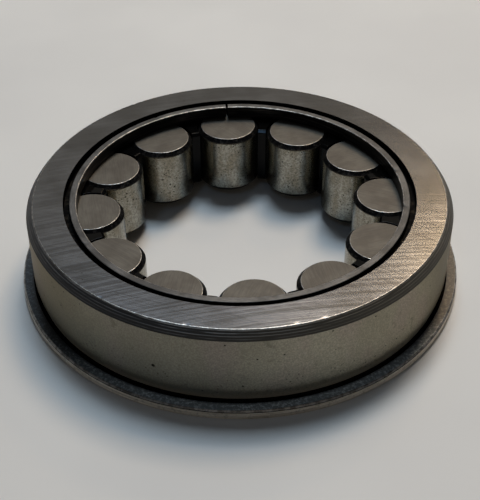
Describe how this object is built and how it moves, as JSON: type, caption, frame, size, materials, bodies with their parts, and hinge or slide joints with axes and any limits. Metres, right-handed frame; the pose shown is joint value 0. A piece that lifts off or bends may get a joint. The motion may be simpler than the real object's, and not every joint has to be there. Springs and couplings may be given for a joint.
{
  "type": "cylindrical roller bearing",
  "caption": "Flanged cylindrical roller bearing without an inner ring: outer ring, split retaining ring, rollers and the black retainer segments between them.",
  "frame": {"origin": "on the bearing's axis at the flange-side face, on which it stands", "axes": "+Z along the bearing's axis from the flange side to the retaining-ring side; roller_01 and the split of the retaining ring lie towards +Y"},
  "size_m": [0.1264, 0.1264, 0.0262],
  "materials": {
    "ring_steel": "ground, lightly oiled, worn",
    "retaining_ring_steel": "ground face, nicked edges",
    "roller_steel": "polished body, satin end faces",
    "retainer_black": "moulded, oiled"
  },
  "bodies": {
    "ring_body": {"outer_ring": "ring_steel", "retaining_ring": "retaining_ring_steel"},
    "retainer_set": {"retainer_segment_01": "retainer_black", "retainer_segment_02": "retainer_black", "retainer_segment_03": "retainer_black", "retainer_segment_04": "retainer_black", "retainer_segment_05": "retainer_black", "retainer_segment_06": "retainer_black", "retainer_segment_07": "retainer_black", "retainer_segment_08": "retainer_black", "retainer_segment_09": "retainer_black", "retainer_segment_10": "retainer_black", "retainer_segment_11": "retainer_black", "retainer_segment_12": "retainer_black"},
    "roller_01_body": {"roller_01": "roller_steel"},
    "roller_02_body": {"roller_02": "roller_steel"},
    "roller_03_body": {"roller_03": "roller_steel"},
    "roller_04_body": {"roller_04": "roller_steel"},
    "roller_05_body": {"roller_05": "roller_steel"},
    "roller_06_body": {"roller_06": "roller_steel"},
    "roller_07_body": {"roller_07": "roller_steel"},
    "roller_08_body": {"roller_08": "roller_steel"},
    "roller_09_body": {"roller_09": "roller_steel"},
    "roller_10_body": {"roller_10": "roller_steel"},
    "roller_11_body": {"roller_11": "roller_steel"},
    "roller_12_body": {"roller_12": "roller_steel"}
  },
  "joints": [
    {"name": "roller_set_orbit", "type": "hinge", "parent": "ring_body", "child": "retainer_set", "pos_m": [0, 0, 0.0122], "axis": [0, 0, 1], "continuous": true},
    {"name": "roller_01_spin", "type": "hinge", "parent": "retainer_set", "child": "roller_01_body", "pos_m": [0, 0.04235, 0.0122], "axis": [0, 0, 1], "continuous": true},
    {"name": "roller_02_spin", "type": "hinge", "parent": "retainer_set", "child": "roller_02_body", "pos_m": [-0.02117, 0.03668, 0.0122], "axis": [0, 0, 1], "continuous": true},
    {"name": "roller_03_spin", "type": "hinge", "parent": "retainer_set", "child": "roller_03_body", "pos_m": [-0.03668, 0.02117, 0.0122], "axis": [0, 0, 1], "continuous": true},
    {"name": "roller_04_spin", "type": "hinge", "parent": "retainer_set", "child": "roller_04_body", "pos_m": [-0.04235, 0, 0.0122], "axis": [0, 0, 1], "continuous": true},
    {"name": "roller_05_spin", "type": "hinge", "parent": "retainer_set", "child": "roller_05_body", "pos_m": [-0.03668, -0.02117, 0.0122], "axis": [0, 0, 1], "continuous": true},
    {"name": "roller_06_spin", "type": "hinge", "parent": "retainer_set", "child": "roller_06_body", "pos_m": [-0.02117, -0.03668, 0.0122], "axis": [0, 0, 1], "continuous": true},
    {"name": "roller_07_spin", "type": "hinge", "parent": "retainer_set", "child": "roller_07_body", "pos_m": [0, -0.04235, 0.0122], "axis": [0, 0, 1], "continuous": true},
    {"name": "roller_08_spin", "type": "hinge", "parent": "retainer_set", "child": "roller_08_body", "pos_m": [0.02117, -0.03668, 0.0122], "axis": [0, 0, 1], "continuous": true},
    {"name": "roller_09_spin", "type": "hinge", "parent": "retainer_set", "child": "roller_09_body", "pos_m": [0.03668, -0.02117, 0.0122], "axis": [0, 0, 1], "continuous": true},
    {"name": "roller_10_spin", "type": "hinge", "parent": "retainer_set", "child": "roller_10_body", "pos_m": [0.04235, 0, 0.0122], "axis": [0, 0, 1], "continuous": true},
    {"name": "roller_11_spin", "type": "hinge", "parent": "retainer_set", "child": "roller_11_body", "pos_m": [0.03668, 0.02117, 0.0122], "axis": [0, 0, 1], "continuous": true},
    {"name": "roller_12_spin", "type": "hinge", "parent": "retainer_set", "child": "roller_12_body", "pos_m": [0.02117, 0.03668, 0.0122], "axis": [0, 0, 1], "continuous": true}
  ],
  "couplings": [
    {"joint": "roller_01_spin", "follows": "roller_set_orbit", "ratio": -5.4611},
    {"joint": "roller_02_spin", "follows": "roller_set_orbit", "ratio": -5.4611},
    {"joint": "roller_03_spin", "follows": "roller_set_orbit", "ratio": -5.4611},
    {"joint": "roller_04_spin", "follows": "roller_set_orbit", "ratio": -5.4611},
    {"joint": "roller_05_spin", "follows": "roller_set_orbit", "ratio": -5.4611},
    {"joint": "roller_06_spin", "follows": "roller_set_orbit", "ratio": -5.4611},
    {"joint": "roller_07_spin", "follows": "roller_set_orbit", "ratio": -5.4611},
    {"joint": "roller_08_spin", "follows": "roller_set_orbit", "ratio": -5.4611},
    {"joint": "roller_09_spin", "follows": "roller_set_orbit", "ratio": -5.4611},
    {"joint": "roller_10_spin", "follows": "roller_set_orbit", "ratio": -5.4611},
    {"joint": "roller_11_spin", "follows": "roller_set_orbit", "ratio": -5.4611},
    {"joint": "roller_12_spin", "follows": "roller_set_orbit", "ratio": -5.4611}
  ]
}
